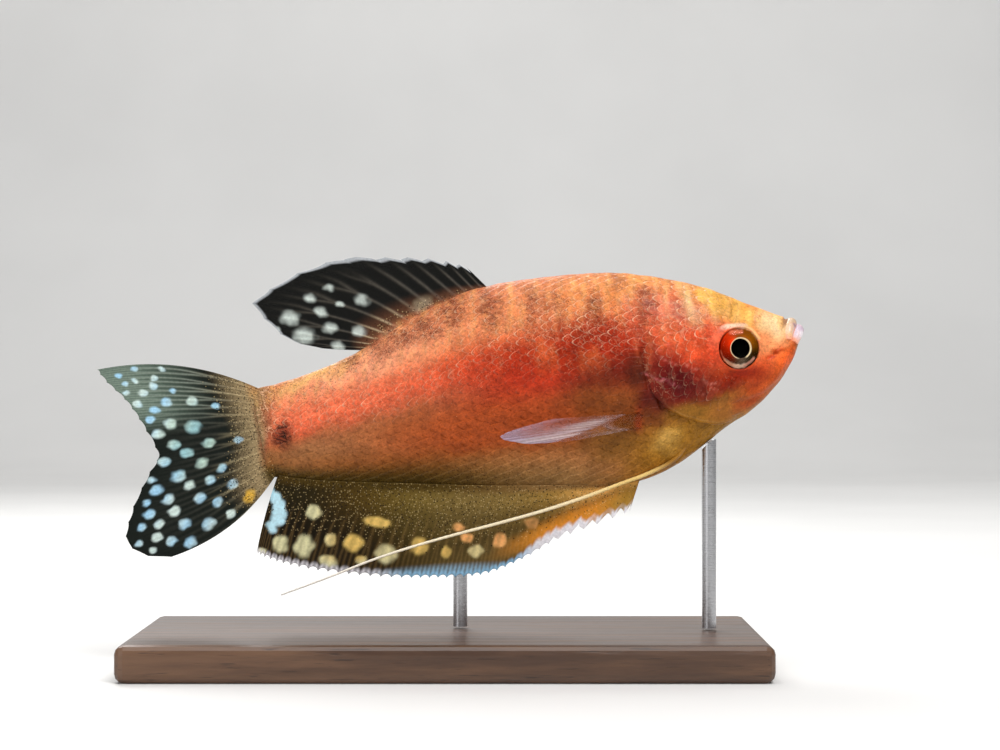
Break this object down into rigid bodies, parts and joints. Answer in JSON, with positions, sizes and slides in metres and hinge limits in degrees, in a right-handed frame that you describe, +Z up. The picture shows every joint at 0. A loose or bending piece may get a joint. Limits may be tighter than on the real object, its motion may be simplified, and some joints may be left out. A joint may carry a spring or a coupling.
{
  "type": "gold gourami display model",
  "caption": "Life-size still model of a male gold gourami swimming nose-up, on a flat base with slim rods.",
  "frame": {"origin": "centre of the underside of the stand's base", "axes": "+X towards the fish's head, +Z up, so the fish's right flank faces -Y"},
  "size_m": [0.1183, 0.056, 0.0681],
  "materials": {
    "skin": "scaled, wet-looking",
    "eye": "clear gloss over a painted iris",
    "dark_fin": "rayed membrane, pale spots",
    "anal_fin": "rayed membrane, yellow spots",
    "clear_fin": "thin rayed membrane, see-through",
    "feeler": "satin",
    "base": "oiled",
    "rod": "satin"
  },
  "bodies": {
    "root": {"head": "skin", "gill_cover_right": "skin", "gill_cover_left": "skin", "torso": "skin", "tail_stalk": "skin", "eye_right": "eye", "eye_left": "eye", "dorsal_fin": "dark_fin", "caudal_fin": "dark_fin", "anal_fin": "anal_fin", "pectoral_fin_right": "clear_fin", "pectoral_fin_left": "clear_fin", "pelvic_feeler_right": "feeler", "pelvic_feeler_left": "feeler", "stand_base": "base", "stand_rod_front": "rod", "stand_rod_rear": "rod"}
  },
  "joints": []
}
